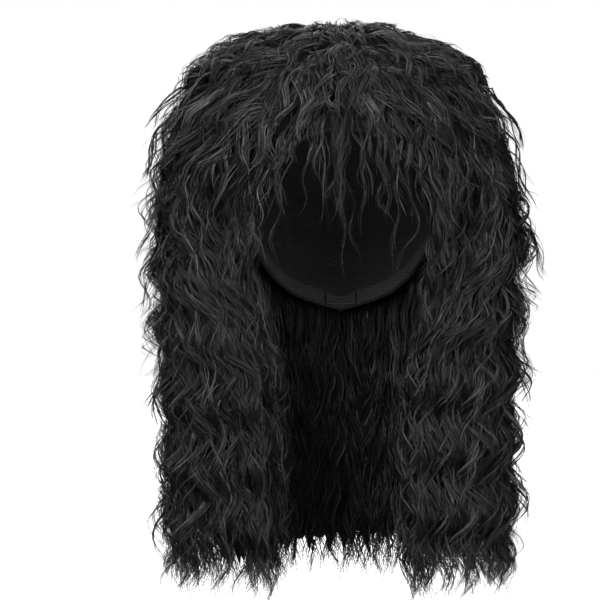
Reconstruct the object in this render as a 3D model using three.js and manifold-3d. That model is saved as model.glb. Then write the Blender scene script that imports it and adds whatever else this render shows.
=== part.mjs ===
// A long curly rocker mullet wig: short teased layers on the crown and sides, a choppy fringe,
// and long crimped lengths that fall in front of and behind the shoulders, in the form that it
// keeps on a head. Millimetres, +Z up, the face looks along -Y and +X is the wearer's left.
// The origin is where the top of the head touches the inside of the cap.
import * as THREE from "three";
import { mergeVertices } from "three/addons/utils/BufferGeometryUtils.js";
import Module from "manifold-3d";

const wasm = await Module();
wasm.setup();

// The head that the cap is cut for
const HEAD_BREADTH = 152;
const BROW_REACH = 90; // ear axis to forehead
const NAPE_REACH = 102; // ear axis to the back of the head
const WIDEST_DROP = 88; // crown to the widest section of the head
const HEAD_DROP = 165; // crown to the nape edge of the cap
const NECK_BREADTH = 104;
const NECK_REACH = 58; // ear axis to the back of the neck
const NECK_BLEND = 50; // height over which the head narrows into the neck

// The cap
const CAP_WALL = 1.5;
const BAND_WALL = 1.2;
const BAND_HEIGHT = 11;
const TAB_LENGTH = 26;
const TAB_WIDTH = 17;
const TAB_ANGLE = 74; // from the middle of the face to the tab in front of the ear
const STRAP_WIDTH = 9;
const FIT_GAP = 0.3; // between pieces that touch
const LINING_GAP = 0.8; // from the cap to what lines it
const HEM_GAP = 1; // between the hem of the teased top and the hair under it

// The hair
const CROWN_LIFT = 47; // teased height above the head
const CROWN_UNDER = 4; // from the hair's outline to the teased dome under its tufts
const TUFT_WIDTH = 34;
const TUFT_WALL = 11;
const TUFT_FLICK = 9; // how far a tuft's tip stands off the hair
const HAIR_BREADTH = 280;
const HAIR_FRONT = 112; // ear axis to the front of the hair
const HAIR_BACK = 142; // ear axis to the back of the hair
const HAIR_DROP = 380; // crown to the lowest tips
const OPEN_ANGLE = 60; // from the middle of the face to the hair at the temples and neck
const FRINGE_WIDTH = 124;
const FRINGE_WALL = 10;
const FRINGE_DROP = 150; // crown to the longest tips of the fringe
const FRINGE_LAP = 4; // how far above the cap's edge its locks leave the strip
const FRINGE_GAP = 6; // from the head to the locks beside it
const FRINGE_LOCK_WIDTH = 20;
const FRINGE_LOCK_WALL = 5;
const FRINGE_BOW = 7; // how far a lock bends sideways
const CURL_PITCH = 46; // one full wave of a long lock
const CURL_DEPTH = 5.5;
const LOCK_WIDTH = 27;
const LOCK_WALL = 17;
const LOCK_FLICK = 14; // how far a long lock's tip stands off the hair

// Roundness of the head and of the hair over it: 2 is an ellipse, more is boxier
const HEAD_ROUNDNESS = 2.2;
const NAPE_TAPER = { side: 0.2, back: 0.32 };

// Cap edge: drop below the crown as a share of HEAD_DROP, at each angle from the front
const CAP_EDGE = [
  { angle: 0, drop: 0.2 },
  { angle: 28, drop: 0.25 },
  { angle: 52, drop: 0.43 },
  { angle: 72, drop: 0.62 },
  { angle: 92, drop: 0.6 },
  { angle: 112, drop: 0.7 },
  { angle: 140, drop: 0.9 },
  { angle: 180, drop: 1 },
];

// Outline of the whole hair: drop follows HAIR_DROP, the reaches follow half of HAIR_BREADTH,
// HAIR_FRONT and HAIR_BACK, and open is the angle of its front edge as a share of OPEN_ANGLE
const OUTLINE = [
  { drop: 0, side: 0.86, front: 0.84, back: 0.86, open: 1 },
  { drop: 0.066, side: 0.95, front: 0.96, back: 0.95, open: 1 },
  { drop: 0.16, side: 0.99, front: 0.98, back: 0.99, open: 1 },
  { drop: 0.285, side: 1, front: 0.9, back: 1, open: 1 },
  { drop: 0.395, side: 0.98, front: 0.84, back: 0.99, open: 0.82 },
  { drop: 0.475, side: 0.97, front: 0.82, back: 0.97, open: 0.66 },
  { drop: 0.565, side: 0.97, front: 0.8, back: 0.94, open: 0.54 },
  { drop: 0.71, side: 0.95, front: 0.77, back: 0.89, open: 0.48 },
  { drop: 0.87, side: 0.93, front: 0.74, back: 0.84, open: 0.46 },
  { drop: 1, side: 0.9, front: 0.7, back: 0.78, open: 0.46 },
];

// How much of the depth, from the head out to the outline, each layer fills
const LENGTHS_DEPTH = [
  { drop: 0.16, depth: 0.3 },
  { drop: 0.3, depth: 0.42 },
  { drop: 0.42, depth: 0.56 },
  { drop: 0.5, depth: 0.74 },
  { drop: 0.56, depth: 0.86 },
  { drop: 1, depth: 0.82 },
];
// Where the lengths' inner side hangs clear of the neck, as a share of the same depth
const LENGTHS_INNER = [
  { drop: 0.42, depth: 0 },
  { drop: 0.56, depth: 0.2 },
  { drop: 1, depth: 0.22 },
];
const LAYER_DEPTH = [
  { drop: 0.1, depth: 0.74 },
  { drop: 0.22, depth: 0.82 },
  { drop: 0.34, depth: 0.94 },
  { drop: 0.44, depth: 0.92 },
];

const rad = THREE.MathUtils.degToRad;
const lerp = THREE.MathUtils.lerp;
const arcAngle = (length, reach) => THREE.MathUtils.radToDeg(length / reach);
const LEFT = 1; // the wearer's left, +X
const RIGHT = -1;

// A column of a table at a place between its rows, on a smooth curve through them.
function readTable(rows, key, at, column) {
  const last = rows.length - 1;
  if (at <= rows[0][key]) return rows[0][column];
  if (at >= rows[last][key]) return rows[last][column];
  const i = rows.findIndex((row) => row[key] > at);
  const slope = (j, k) => (rows[k][column] - rows[j][column]) / (rows[k][key] - rows[j][key]);
  const run = rows[i][key] - rows[i - 1][key];
  const t = (at - rows[i - 1][key]) / run;
  const into = slope(Math.max(0, i - 2), i) * run;
  const out = slope(i - 1, Math.min(last, i + 1)) * run;
  const bend = (rows[i][column] - rows[i - 1][column]) * (3 - 2 * t) * t * t;
  return rows[i - 1][column] + bend + into * t * (1 - t) ** 2 - out * t * t * (1 - t);
}

// Share of the widest reach that a dome has at a share of its height below the pole.
function domeShare(share, roundness) {
  return (1 - (1 - Math.min(1, share)) ** roundness) ** (1 / roundness);
}

// A point of an oval section: angle 0 faces the front, 90 the wearer's left, 180 the back.
function ovalPoint(reach, angle, z) {
  const forward = Math.cos(rad(angle));
  const depth = forward > 0 ? reach.front : reach.back;
  return new THREE.Vector3(reach.side * Math.sin(rad(angle)), -depth * forward, z);
}

// Reaches of the head's section, and of the neck's below it, at a drop below the crown.
function headReach(drop) {
  const dome = domeShare(drop / WIDEST_DROP, HEAD_ROUNDNESS);
  const below = THREE.MathUtils.clamp((drop - WIDEST_DROP) / (HEAD_DROP - WIDEST_DROP), 0, 1);
  const side = (HEAD_BREADTH / 2) * dome * (1 - NAPE_TAPER.side * below ** 2);
  const back = NAPE_REACH * dome * (1 - NAPE_TAPER.back * below ** 2);
  const neck = THREE.MathUtils.smoothstep(drop, HEAD_DROP, HEAD_DROP + NECK_BLEND);
  return {
    side: lerp(side, NECK_BREADTH / 2, neck),
    front: lerp(BROW_REACH * dome, NECK_REACH, THREE.MathUtils.smoothstep(drop, WIDEST_DROP, HEAD_DROP)),
    back: lerp(back, NECK_REACH, neck),
  };
}

// A point off the head by a distance along its own normal.
function headPoint(angle, drop, off) {
  const step = 0.5;
  const at = ovalPoint(headReach(drop), angle, -drop);
  if (drop === 0) return at.set(0, 0, off);
  const low = Math.max(drop - step, 0);
  const along = ovalPoint(headReach(drop + step), angle, -drop - step)
    .sub(ovalPoint(headReach(low), angle, -low));
  const around = ovalPoint(headReach(drop), angle + step, -drop)
    .sub(ovalPoint(headReach(drop), angle - step, -drop));
  return at.addScaledVector(along.cross(around).normalize(), off);
}

// Reaches of the hair's outline at a height z, above or below the crown.
function outlineReach(z) {
  const row = (column) => readTable(OUTLINE, "drop", Math.max(0, -z) / HAIR_DROP, column);
  const dome = domeShare((CROWN_LIFT - z) / CROWN_LIFT, HEAD_ROUNDNESS);
  return {
    side: (HAIR_BREADTH / 2) * row("side") * dome,
    front: HAIR_FRONT * row("front") * dome,
    back: HAIR_BACK * row("back") * dome,
  };
}

// A point of the hair beside and behind the face. around runs from 0 at the edge of the face
// opening to 1 at the middle of the back and on to 2 at the other edge, depth from 0 on the
// head to 1 on the outline.
function hairPoint(side, around, drop, depth) {
  if (around > 1) return hairPoint(-side, 2 - around, drop, depth);
  const open = OPEN_ANGLE * readTable(OUTLINE, "drop", drop / HAIR_DROP, "open");
  const from = headPoint(lerp(OPEN_ANGLE, 180, around), drop, CAP_WALL + FIT_GAP);
  const to = ovalPoint(outlineReach(-drop), lerp(open, 180, around), -drop);
  const at = from.lerp(to, depth);
  at.x *= side;
  return at;
}

// The way out of the hair at a place, square to the head's axis.
function hairOut(side, around, drop) {
  return hairPoint(side, around, drop, 1).sub(hairPoint(side, around, drop, 0)).setZ(0).normalize();
}

// Turns points and faces into a solid, with shared vertices and faces that point out.
function solidFrom(points, faces) {
  const geometry = new THREE.BufferGeometry();
  geometry.setAttribute("position", new THREE.Float32BufferAttribute(points.flatMap((p) => p.toArray()), 3));
  geometry.setIndex(faces.flat());
  return manifoldOf(geometry);
}

function manifoldOf(geometry) {
  const merged = mergeVertices(geometry, 1e-4);
  const indices = Array.from(merged.index.array);
  const kept = [];
  for (let i = 0; i < indices.length; i += 3) {
    const [a, b, c] = indices.slice(i, i + 3);
    if (a !== b && b !== c && c !== a) kept.push(a, b, c);
  }
  const build = (triVerts) =>
    new wasm.Manifold(
      new wasm.Mesh({
        numProp: 3,
        vertProperties: merged.attributes.position.array,
        triVerts: new Uint32Array(triVerts),
      }),
    );
  const solid = build(kept);
  return solid.volume() > 0 ? solid : build(kept.reverse());
}

// A solid through closed rings of equal length. An end that is a single point is a tip.
function loftSolid(rings) {
  const points = rings.flat();
  const faces = [];
  let start = 0;
  for (let r = 0; r + 1 < rings.length; r++) {
    const n = Math.max(rings[r].length, rings[r + 1].length);
    const next = start + rings[r].length;
    for (let i = 0; i < n; i++) {
      const j = (i + 1) % n;
      if (rings[r].length > 1) faces.push([start + i, start + j, next + (rings[r + 1].length > 1 ? j : 0)]);
      if (rings[r + 1].length > 1) faces.push([start + (rings[r].length > 1 ? i : 0), next + j, next + i]);
    }
    start = next;
  }
  const cap = (ring, first, flip) => {
    for (let i = 1; i + 1 < ring.length; i++) {
      faces.push(flip ? [first, first + i + 1, first + i] : [first, first + i, first + i + 1]);
    }
  };
  cap(rings[0], 0, true);
  cap(rings.at(-1), start, false);
  return solidFrom(points, faces);
}

// A wall between two equal grids of points, closed along all four sides.
function wallSolid(outer, inner) {
  const rows = outer.length;
  const columns = outer[0].length;
  const points = [...outer.flat(), ...inner.flat()];
  const front = (r, c) => r * columns + c;
  const back = (r, c) => rows * columns + front(r, c);
  const faces = [];
  const quad = (a, b, c, d) => faces.push([a, b, c], [a, c, d]);
  for (let r = 0; r + 1 < rows; r++) {
    for (let c = 0; c + 1 < columns; c++) {
      quad(front(r, c), front(r + 1, c), front(r + 1, c + 1), front(r, c + 1));
      quad(back(r, c), back(r, c + 1), back(r + 1, c + 1), back(r + 1, c));
    }
    const end = columns - 1;
    quad(front(r, 0), back(r, 0), back(r + 1, 0), front(r + 1, 0));
    quad(front(r, end), front(r + 1, end), back(r + 1, end), back(r, end));
  }
  for (let c = 0; c + 1 < columns; c++) {
    const end = rows - 1;
    quad(front(0, c), front(0, c + 1), back(0, c + 1), back(0, c));
    quad(front(end, c), back(end, c), back(end, c + 1), front(end, c + 1));
  }
  return solidFrom(points, faces);
}

function range(count, from = 0, to = 1) {
  return Array.from({ length: count }, (_, i) => lerp(from, to, count > 1 ? i / (count - 1) : 0));
}

// The main body of a cut solid, without the crumbs that a cut can leave.
function mainBody(solid) {
  return solid.decompose().reduce((best, part) => (part.volume() > best.volume() ? part : best));
}

function fuse(solids) {
  return solids.reduce((sum, solid) => sum.add(solid));
}

function cutBy(solid, cutters) {
  return mainBody(cutters.reduce((left, cutter) => left.subtract(cutter), solid));
}

// A tapering lock of hair along a path of frames { at, out }, with a ridge on its outer side.
function lockSolid(frames, width, wall, shape, grow = 0) {
  const last = frames.length - 1;
  const rings = frames.map(({ at, out }, i) => {
    const ahead = frames[Math.min(last, i + 1)].at.clone().sub(frames[Math.max(0, i - 1)].at).normalize();
    const across = ahead.clone().cross(out).normalize();
    const up = across.clone().cross(ahead).normalize();
    const size = shape(i / last);
    if (i === last) return [at.clone().addScaledVector(ahead, grow)];
    const half = (width / 2) * size + grow;
    const rise = (wall / 2) * Math.sqrt(size) + grow;
    return [
      at.clone().addScaledVector(across, half),
      at.clone().addScaledVector(up, rise),
      at.clone().addScaledVector(across, -half),
      at.clone().addScaledVector(up, -rise),
    ];
  });
  return loftSolid(rings);
}

// Width of a lock along its length, as a share of its full width: gathered, full, pointed.
const longShape = (t) => lerp(0.7, 1, Math.min(1, t * 4)) * (1 - t ** 6);
const fringeShape = (t) => 1 - t ** 2.4;
const tuftShape = (t) => lerp(0.8, 1, Math.min(1, t * 3)) * (1 - t ** 2.2);

// Drop of the cap's edge at an angle, the same on both sides of the head.
function edgeDrop(angle) {
  const turn = Math.abs(((angle + 540) % 360) - 180);
  return HEAD_DROP * readTable(CAP_EDGE, "angle", turn, "drop");
}

// The cap's facets: a column every few degrees, and rows from the crown to the edge. What lies
// on the cap has its own facets over these.
const COLUMN_ANGLE = 12;
const CAP_ROWS = 8;
const HEM_ROW = 6; // where the teased top ends, and the layers and lengths are sewn on
const COLUMNS = range(360 / COLUMN_ANGLE).map((_, i) => i * COLUMN_ANGLE);

function rowDrop(angle, row) {
  return edgeDrop(angle) * (row / CAP_ROWS) ** 1.6;
}

function capRing(row, off) {
  return COLUMNS.map((angle) => headPoint(angle, rowDrop(angle, row), off));
}

// A point on the flat of a cap facet, between two of its rows.
function facetPoint(angle, drop, off) {
  const row = CAP_ROWS * (drop / edgeDrop(angle)) ** (1 / 1.6);
  const low = Math.min(CAP_ROWS - 1, Math.floor(row));
  const from = headPoint(angle, rowDrop(angle, low), off);
  return from.lerp(headPoint(angle, rowDrop(angle, low + 1), off), row - low);
}

// The cap: a cloth shell over the head, from the crown to its shaped edge.
function capSolid() {
  const rows = range(CAP_ROWS).map((_, i) => i + 1);
  return loftSolid([
    [headPoint(0, 0, CAP_WALL)],
    ...rows.map((row) => capRing(row, CAP_WALL)),
    ...rows.reverse().map((row) => capRing(row, 0)),
    [headPoint(0, 0, 0)],
  ]);
}

// A strip of cloth on the inside of the cap, between two heights at each angle.
function liningStrip(angles, top, bottom) {
  const row = (edge, off) => angles.map((angle) => facetPoint(angle, edge(angle), off));
  const grid = (off) => [row(top, off), row(bottom, off)];
  return wallSolid(grid(-LINING_GAP), grid(-LINING_GAP - BAND_WALL));
}

// The elastic band along the cap's edge, which stops beside the nape strap.
function edgeBand() {
  const angles = COLUMNS.map((angle) => 180 - COLUMN_ANGLE - angle).slice(0, -1);
  return liningStrip(angles, (a) => edgeDrop(a) - BAND_HEIGHT, edgeDrop);
}

function napeStrap() {
  const reach = COLUMN_ANGLE - 1.5;
  const middle = (angle) => edgeDrop(angle) - BAND_HEIGHT / 2;
  const angles = range(3, 180 - reach, 180 + reach);
  return liningStrip(angles, (a) => middle(a) - STRAP_WIDTH / 2, (a) => middle(a) + STRAP_WIDTH / 2);
}

// A rounded tab that hangs from the cap's edge in front of the ear.
function earTab(side, grow) {
  const half = arcAngle(TAB_WIDTH / 2 + grow, HEAD_BREADTH / 2);
  const grid = (off) =>
    range(5).map((share) =>
      range(6, -1, 1).map((column) => {
        const round = Math.sqrt(1 - Math.max(0, share - 0.5) ** 2 * 3.4);
        const angle = TAB_ANGLE + column * half * round;
        const below = lerp(2 * FIT_GAP - grow, TAB_LENGTH + grow, share);
        const at = headPoint(angle, edgeDrop(angle) + below, off);
        at.x *= side;
        return at;
      }),
    );
  return wallSolid(grid(CAP_WALL + grow), grid(-grow));
}

// Frames of a tuft on the teased crown: it leaves the hair's surface at one place and ends at
// another, lifted off it by flick at the tip.
function crownFrames(tuft, steps) {
  return range(steps).map((t) => {
    const angle = lerp(tuft.angle, tuft.tipAngle, t);
    const z = lerp(tuft.root, tuft.tip, t) * CROWN_LIFT;
    const at = ovalPoint(outlineReach(z), angle, z);
    const out = at.clone().setZ(Math.max(0, z) * 2 + CROWN_LIFT * 0.6).normalize();
    const bow = Math.sin(Math.PI * t) * CURL_DEPTH * 0.5 + tuft.flick * TUFT_FLICK * t * t;
    return { at: at.addScaledVector(out, bow), out };
  });
}

// Tufts of the teased crown: angles from the front, root and tip heights as shares of
// CROWN_LIFT, and widths and flicks as shares of TUFT_WIDTH and TUFT_FLICK.
const CROWN_TUFTS = [
  { angle: -8, tipAngle: -26, root: 0.9, tip: -1.3, width: 0.88, flick: 0.33 },
  { angle: 14, tipAngle: 20, root: 0.92, tip: -1.25, width: 0.88, flick: 0.22 },
  { angle: 38, tipAngle: 50, root: 0.86, tip: -1.5, width: 0.94, flick: 0.44 },
  { angle: 62, tipAngle: 76, root: 0.82, tip: -1.9, width: 0.94, flick: 0.78 },
  { angle: 90, tipAngle: 97, root: 0.8, tip: -1.6, width: 1, flick: 1 },
  { angle: 118, tipAngle: 122, root: 0.82, tip: -2.1, width: 1, flick: 0.67 },
  { angle: 146, tipAngle: 150, root: 0.86, tip: -2.2, width: 1, flick: 0.56 },
  { angle: 174, tipAngle: 171, root: 0.85, tip: -2.7, width: 1, flick: 0.44 },
  { angle: 201, tipAngle: 199, root: 0.86, tip: -2.3, width: 1, flick: 0.56 },
  { angle: 228, tipAngle: 226, root: 0.82, tip: -2.5, width: 1, flick: 0.78 },
  { angle: 255, tipAngle: 252, root: 0.8, tip: -1.8, width: 1, flick: 1 },
  { angle: 282, tipAngle: 276, root: 0.82, tip: -2.0, width: 0.94, flick: 0.89 },
  { angle: 306, tipAngle: 297, root: 0.84, tip: -1.5, width: 0.94, flick: 0.67 },
  { angle: 330, tipAngle: 316, root: 0.88, tip: -1.6, width: 0.94, flick: 0.44 },
];

function crownTufts(grow) {
  return CROWN_TUFTS.map((tuft) =>
    lockSolid(crownFrames(tuft, 6), tuft.width * TUFT_WIDTH, TUFT_WALL, tuftShape, grow),
  );
}

// The teased top: a thick dome of hair from the crown to the hem row, with tufts over its sides.
function crownSolid() {
  const dome = [0.93, 0.76, 0.46, 0.08].map((share) => () => share * CROWN_LIFT);
  const fall = [0.5, 1].map((share) => (angle) => -rowDrop(angle, HEM_ROW) * share);
  const outer = [...dome, ...fall].map((height, row) =>
    COLUMNS.map((angle, i) => {
      const at = ovalPoint(outlineReach(height(angle)), angle, height(angle));
      const ruffle = (i + row) % 2 ? CROWN_UNDER / 2 : 0;
      const flat = Math.hypot(at.x, at.y);
      const share = 1 - (CROWN_UNDER + ruffle) / flat;
      return at.multiply(new THREE.Vector3(share, share, 1));
    }),
  );
  const inner = range(HEM_ROW).map((_, i) => capRing(i + 1, CAP_WALL + FIT_GAP));
  const top = new THREE.Vector3(0, 0, CROWN_LIFT - CROWN_UNDER / 2);
  const shell = loftSolid([[headPoint(0, 0, CAP_WALL + FIT_GAP)], ...inner, ...outer.reverse(), [top]]);
  return fuse([shell, ...crownTufts(0)]);
}

// Locks of the fringe from the wearer's right to left. root and tip are places across, as
// shares of half of FRINGE_WIDTH, and drop is the tip's height below the crown as a share of
// FRINGE_DROP. Widths and bows are shares of FRINGE_LOCK_WIDTH and FRINGE_BOW.
const FRINGE_LOCKS = [
  { root: -0.98, tip: -1.2, drop: 0.98, width: 1, bow: -0.71 },
  { root: -0.8, tip: -1.02, drop: 0.86, width: 0.85, bow: -0.57 },
  { root: -0.62, tip: -0.95, drop: 0.94, width: 0.65, bow: -1 },
  { root: -0.45, tip: -0.5, drop: 0.56, width: 0.45, bow: 0.43 },
  { root: -0.3, tip: -0.2, drop: 0.74, width: 0.45, bow: -0.71 },
  { root: -0.13, tip: -0.24, drop: 0.85, width: 0.35, bow: 0.57 },
  { root: 0.02, tip: 0.0, drop: 0.69, width: 0.35, bow: -0.43 },
  { root: 0.16, tip: 0.26, drop: 0.6, width: 0.45, bow: 0.57 },
  { root: 0.32, tip: 0.5, drop: 0.79, width: 0.5, bow: -0.86 },
  { root: 0.5, tip: 0.74, drop: 0.9, width: 0.65, bow: 0.71 },
  { root: 0.66, tip: 0.96, drop: 1.0, width: 0.75, bow: 0.86 },
  { root: 0.82, tip: 1.1, drop: 0.88, width: 0.9, bow: 0.57 },
  { root: 0.98, tip: 1.22, drop: 1.0, width: 1, bow: 0.57 },
];

// Angle of a place across the fringe, on the oval section of the cap's front edge.
function fringeAngle(across) {
  const share = THREE.MathUtils.clamp((across * FRINGE_WIDTH) / HEAD_BREADTH, -0.96, 0.96);
  return THREE.MathUtils.radToDeg(Math.asin(share));
}

// A point of the fringe at a share t of its fall, from the cap's edge over the brow.
function fringePoint(across, t, drop) {
  const angle = fringeAngle(across);
  const start = edgeDrop(angle) - FRINGE_LAP;
  const root = headPoint(angle, start, CAP_WALL + FIT_GAP + FRINGE_WALL / 2);
  const fall = Math.max(drop - start, FRINGE_WALL);
  const z = -start - fall * t;
  const reach = outlineReach(Math.min(z, -start));
  const side = HEAD_BREADTH / 2 + FRINGE_GAP;
  const hang = ovalPoint({ side, front: reach.front * 0.93, back: 0 }, angle, z);
  const away = THREE.MathUtils.smoothstep(t, 0, 0.35);
  return root.setZ(z).lerp(hang, away);
}

function fringeFrames(lock, steps) {
  return range(steps).map((t) => {
    const across = lerp(lock.root, lock.tip, t);
    const at = fringePoint(across, t, FRINGE_DROP * lock.drop);
    at.x += lock.bow * FRINGE_BOW * Math.sin(Math.PI * 1.6 * t);
    return { at, out: new THREE.Vector3(at.x * 0.8, -HAIR_FRONT, 0).normalize() };
  });
}

// The strip is sewn on the cap's facets between the hem row and the edge, from side to side.
function fringeSolid(grow) {
  const end = OPEN_ANGLE - arcAngle(2 * FIT_GAP - grow, HEAD_BREADTH / 2);
  const angles = [-end, ...COLUMNS.map((a) => a - 180).filter((a) => Math.abs(a) < OPEN_ANGLE), end];
  const near = CAP_WALL + FIT_GAP;
  const grid = (off) =>
    range(CAP_ROWS - HEM_ROW + 1).map((_, i) =>
      angles.map((angle) => headPoint(angle, rowDrop(angle, HEM_ROW + i) + (i ? grow : 1 - grow), off)),
    );
  const strip = wallSolid(grid(near + FRINGE_WALL + grow), grid(near - grow / 2));
  const locks = FRINGE_LOCKS.map((lock) =>
    lockSolid(fringeFrames(lock, 6), lock.width * FRINGE_LOCK_WIDTH, FRINGE_LOCK_WALL, fringeShape, grow),
  );
  return fuse([strip, ...locks]);
}

// Drop of a row of the hanging hair: the cap's own rows down to its edge, then even steps.
const EDGE_ROW = CAP_ROWS - HEM_ROW;
const FALL_ROWS = 8;
const BACKING_DROP = HAIR_DROP * 0.93; // the locks hang on below this
function fallDrop(around, row) {
  const angle = lerp(OPEN_ANGLE, 180, around > 1 ? 2 - around : around);
  if (row <= EDGE_ROW) return rowDrop(angle, HEM_ROW + row);
  return lerp(edgeDrop(angle), BACKING_DROP, (row - EDGE_ROW) / (FALL_ROWS - EDGE_ROW));
}

// Backing of a layer or length: a thick wall of hair between two places around, counted in
// columns of the cap, down to a row, and between two depths that follow the drop.
function backingSolid({ side, columns, lastRow, deep, shallow }, grow) {
  const perColumn = COLUMN_ANGLE / (180 - OPEN_ANGLE);
  const slack = arcAngle(FIT_GAP - grow, NECK_REACH) / (180 - OPEN_ANGLE);
  const places = range(columns[1] - columns[0] + 1).map((_, i) => (columns[0] + i) * perColumn);
  const last = places.length - 1;
  if (columns[0] > 0) places[0] += slack;
  places[last] -= slack;
  if (side === RIGHT) places.reverse(); // its facets are split the same way as the cap's
  const grid = (depth, off) =>
    range(lastRow + 1).map((_, row) =>
      places.map((place) => {
        const under = row === 0 ? HEM_GAP - grow : grow * (row === lastRow);
        const drop = fallDrop(place, row) + under;
        const at = hairPoint(side, place, drop, depth(drop / HAIR_DROP));
        return at.addScaledVector(hairOut(side, place, drop), off);
      }),
    );
  return wallSolid(grid(shallow.depth, shallow.off + grow), grid(deep.depth, deep.off - grow));
}

// Frames of a lock that runs down the hair, waving from side to side as a crimped curl does. It
// comes out from under what hangs over it to its own depth within a quarter of its length.
function hangingFrames(side, lock, steps) {
  return range(steps).map((t) => {
    const drop = lerp(lock.top, lock.tip, t) * HAIR_DROP;
    const free = lerp(lock.depth, lock.tipDepth, t);
    const depth = lerp(lock.rootDepth, free, THREE.MathUtils.smoothstep(t, 0, 0.25));
    const place = lerp(lock.around, lock.tipAround, t);
    const out = hairOut(side, place, drop);
    const across = new THREE.Vector3(-out.y, out.x, 0);
    const phase = 2 * Math.PI * (lock.phase - drop / CURL_PITCH);
    const at = hairPoint(side, place, drop, depth)
      .addScaledVector(across, CURL_DEPTH * Math.sin(phase))
      .addScaledVector(out, CURL_DEPTH * 0.6 * Math.cos(phase) + lock.flick * LOCK_FLICK * t ** 3);
    return { at, out };
  });
}

const lengthsDepth = (share) => readTable(LENGTHS_DEPTH, "drop", share, "depth");
const lengthsInner = (share) => readTable(LENGTHS_INNER, "drop", share, "depth");
const layerDepth = (share) => readTable(LAYER_DEPTH, "drop", share, "depth");

// Locks of the middle layers and the lengths: places around, heights as shares of HAIR_DROP,
// depths as shares from the head to the outline, the phase of the wave as a share of a turn,
// and flicks and widths as shares of LOCK_FLICK and LOCK_WIDTH.
const withDefaults = (defaults) => (lock) => ({ ...defaults, tipAround: lock.around, ...lock });
const SIDE_LAYER_LOCKS = [
  { around: 0.05, tipAround: 0.04, top: 0.17, tip: 0.5, tipDepth: 0.94, phase: 0.1, flick: 0.14, width: 0.9 },
  { around: 0.15, tipAround: 0.14, top: 0.17, tip: 0.56, tipDepth: 0.97, phase: 0.6, flick: 0.21, width: 1 },
  { around: 0.25, top: 0.18, tip: 0.47, tipDepth: 1, phase: 0.25, flick: 0.64, width: 1 },
  { around: 0.34, top: 0.2, tip: 0.55, phase: 0.8, flick: 1, width: 1 },
  { around: 0.43, top: 0.2, tip: 0.5, phase: 0.35, flick: 0.43, width: 0.93 },
].map(withDefaults({ rootDepth: 0.7, depth: 0.82, tipDepth: 0.98 }));

const BACK_LAYER_LOCKS = [
  { around: 0.57, tipAround: 0.58, top: 0.26, tip: 0.58, phase: 0.5, flick: 0.43, width: 1.11 },
  { around: 0.69, top: 0.28, tip: 0.63, phase: 0.05, flick: 0.29, width: 1.11 },
  { around: 0.81, tipAround: 0.8, top: 0.29, tip: 0.59, phase: 0.7, flick: 0.36, width: 1.11 },
  { around: 0.93, top: 0.3, tip: 0.65, phase: 0.3, flick: 0.21, width: 1.11 },
].map(withDefaults({ rootDepth: 0.7, depth: 0.84, tipDepth: 0.98 }));

const FRONT_LENGTH_LOCKS = [
  { around: 0.05, tipAround: 0.04, top: 0.48, tip: 0.985, tipDepth: 0.6, phase: 0.1, flick: 0, width: 0.96 },
  { around: 0.13, tipAround: 0.12, top: 0.48, tip: 1, tipDepth: 0.78, phase: 0.55, flick: 0, width: 1 },
  { around: 0.21, top: 0.48, tip: 0.96, phase: 0.9, flick: 0.14, width: 1 },
  { around: 0.285, top: 0.48, tip: 0.99, phase: 0.35, flick: 0.14, width: 0.93 },
].map(withDefaults({ rootDepth: 0.5, depth: 0.86, tipDepth: 0.84 }));

const SIDE_LENGTH_LOCKS = [
  { around: 0.375, tipAround: 0.38, top: 0.48, tip: 0.97, phase: 0.75, flick: 0.14, width: 1.04 },
  { around: 0.49, tipAround: 0.485, top: 0.48, tip: 1, phase: 0.2, flick: 0, width: 1.11 },
  { around: 0.61, top: 0.5, tip: 0.96, phase: 0.6, flick: 0.14, width: 1.04 },
].map(withDefaults({ rootDepth: 0.5, depth: 0.86, tipDepth: 0.82 }));

const BACK_LENGTH_LOCKS = [
  { around: 0.76, tipAround: 0.77, top: 0.54, tip: 0.97, phase: 0, flick: 0.14, width: 1.11 },
  { around: 0.86, top: 0.54, tip: 1, phase: 0.45, flick: 0, width: 1.19 },
  { around: 0.955, top: 0.56, tip: 0.98, phase: 0.8, flick: 0, width: 1.11 },
].map(withDefaults({ rootDepth: 0.5, depth: 0.86, tipDepth: 0.82 }));

function hangingLocks(side, locks, steps, wall, shape, grow) {
  return locks.map((lock) =>
    lockSolid(hangingFrames(side, lock, steps), lock.width * LOCK_WIDTH, wall, shape, grow),
  );
}

const LENGTH_STEPS = 11; // sections of a long lock
const LAYER_STEPS = 7; // sections of a layer's lock
const LAYER_ROW = 4; // row of the hanging hair where the backing of the layers ends
const LAYER_LOCK_WALL = LOCK_WALL * 0.7;

// Places around, in columns of the cap from the edge of the face opening
const BACK_COLUMN = (180 - OPEN_ANGLE) / COLUMN_ANGLE;
const LAYER_SPLIT = BACK_COLUMN / 2;
const LENGTH_SPLITS = [BACK_COLUMN * 0.3, BACK_COLUMN * 0.7];
const acrossBack = (column) => [column, 2 * BACK_COLUMN - column];

const layerBacking = (side, columns, grow) =>
  backingSolid({
    side, columns, lastRow: LAYER_ROW,
    deep: { depth: lengthsDepth, off: 2 * FIT_GAP }, shallow: { depth: layerDepth, off: 0 },
  }, grow);

const lengthBacking = (side, columns, grow) =>
  backingSolid({
    side, columns, lastRow: FALL_ROWS,
    deep: { depth: lengthsInner, off: 0 }, shallow: { depth: lengthsDepth, off: 0 },
  }, grow);

const layerLocks = (side, locks, grow) =>
  hangingLocks(side, locks, LAYER_STEPS, LAYER_LOCK_WALL, tuftShape, grow);

const lengthLocks = (side, locks, grow) =>
  hangingLocks(side, locks, LENGTH_STEPS, LOCK_WALL, longShape, grow);

const sideLayer = (side, grow) =>
  fuse([layerBacking(side, [0, LAYER_SPLIT], grow), ...layerLocks(side, SIDE_LAYER_LOCKS, grow)]);

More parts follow.
